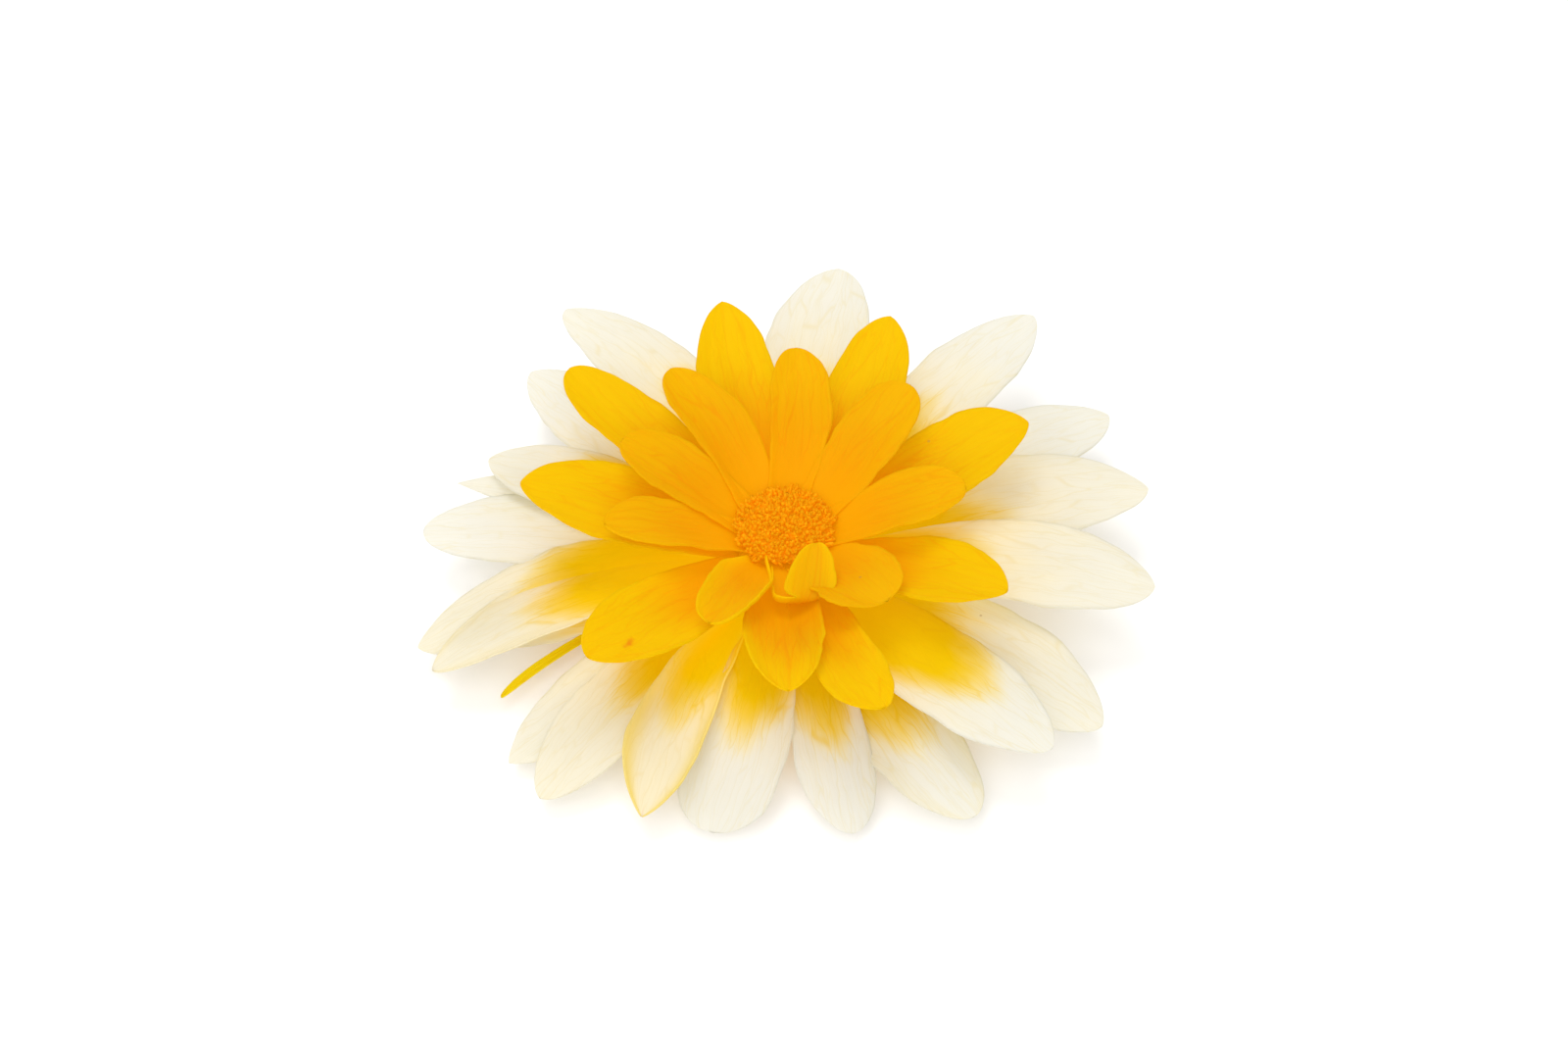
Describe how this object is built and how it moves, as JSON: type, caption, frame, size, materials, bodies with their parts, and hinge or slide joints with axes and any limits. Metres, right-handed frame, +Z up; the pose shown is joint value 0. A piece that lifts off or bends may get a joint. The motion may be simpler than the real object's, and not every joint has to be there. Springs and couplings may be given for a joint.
{
  "type": "preserved dahlia",
  "caption": "Preserved dahlia head without its stem: white petals with golden bases under yellow and golden petals round an orange disc of florets",
  "frame": {"origin": "centre of the flat cut face under the receptacle, which the head rests on", "axes": "+Z up through the disc, -Y towards the side with the folded golden petal, +X to that side's right"},
  "size_m": [0.0821, 0.0767, 0.0183],
  "materials": {
    "calyx": "matt, faintly ribbed",
    "under_petal": "matt, thin",
    "white_petal": "matt, thin, golden at the base along the veins",
    "yellow_petal": "soft, finely veined",
    "golden_petal": "soft, finely veined",
    "floret": "matt, granular"
  },
  "bodies": {
    "root": {"calyx": "calyx", "under_petals": "under_petal", "white_petals": "white_petal", "yellow_petals": "yellow_petal", "golden_petals": "golden_petal", "disc_florets": "floret"}
  },
  "joints": []
}
